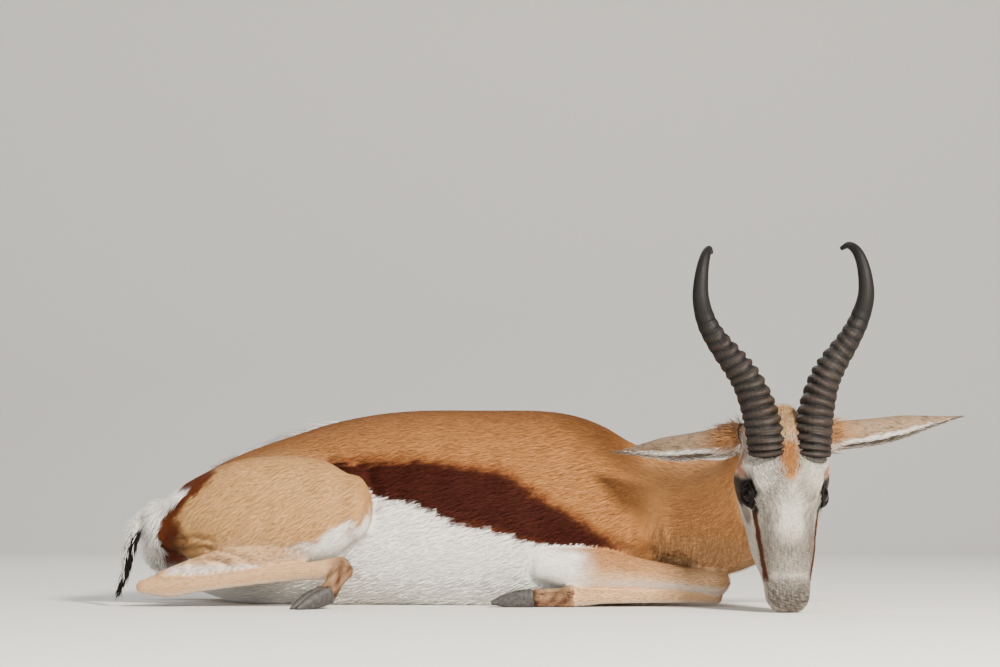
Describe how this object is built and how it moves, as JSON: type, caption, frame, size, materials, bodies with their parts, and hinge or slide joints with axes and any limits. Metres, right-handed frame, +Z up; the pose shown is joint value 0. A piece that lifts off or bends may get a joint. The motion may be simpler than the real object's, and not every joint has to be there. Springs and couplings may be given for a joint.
{
  "type": "springbok",
  "caption": "Life-size springbok ram at rest with folded legs, head turned aside and upright, ringed horns, spread ears and white rump.",
  "frame": {"origin": "on the floor under the middle of the trunk, where the belly rests", "axes": "+X from rump to breast, +Y away from the side that the face looks to, +Z up"},
  "size_m": [0.9934, 0.4458, 0.4185],
  "materials": {
    "coat": "short hair, cinnamon above, dark brown flank band, white below and on the face and rump",
    "horn": "dark ringed horn, worn paler on the ridges, smooth and satin at the tips",
    "hoof": "grey-brown horn, satin",
    "eye": "wet and glossy, dark brown"
  },
  "bodies": {
    "root": {"head": "coat", "ear_left": "coat", "ear_right": "coat", "neck": "coat", "chest": "coat", "belly": "coat", "rump": "coat", "tail": "coat", "thigh_left": "coat", "thigh_right": "coat", "shank_left": "coat", "shank_right": "coat", "cannon_hind_left": "coat", "cannon_hind_right": "coat", "pastern_hind_left": "coat", "pastern_hind_right": "coat", "forearm_left": "coat", "forearm_right": "coat", "cannon_fore_left": "coat", "cannon_fore_right": "coat", "pastern_fore_left": "coat", "pastern_fore_right": "coat", "hoof_hind_left_1": "hoof", "hoof_hind_left_2": "hoof", "hoof_hind_right_1": "hoof", "hoof_hind_right_2": "hoof", "hoof_fore_left_1": "hoof", "hoof_fore_left_2": "hoof", "hoof_fore_right_1": "hoof", "hoof_fore_right_2": "hoof", "horn_left": "horn", "horn_right": "horn", "eye_left": "eye", "eye_right": "eye"}
  },
  "joints": []
}
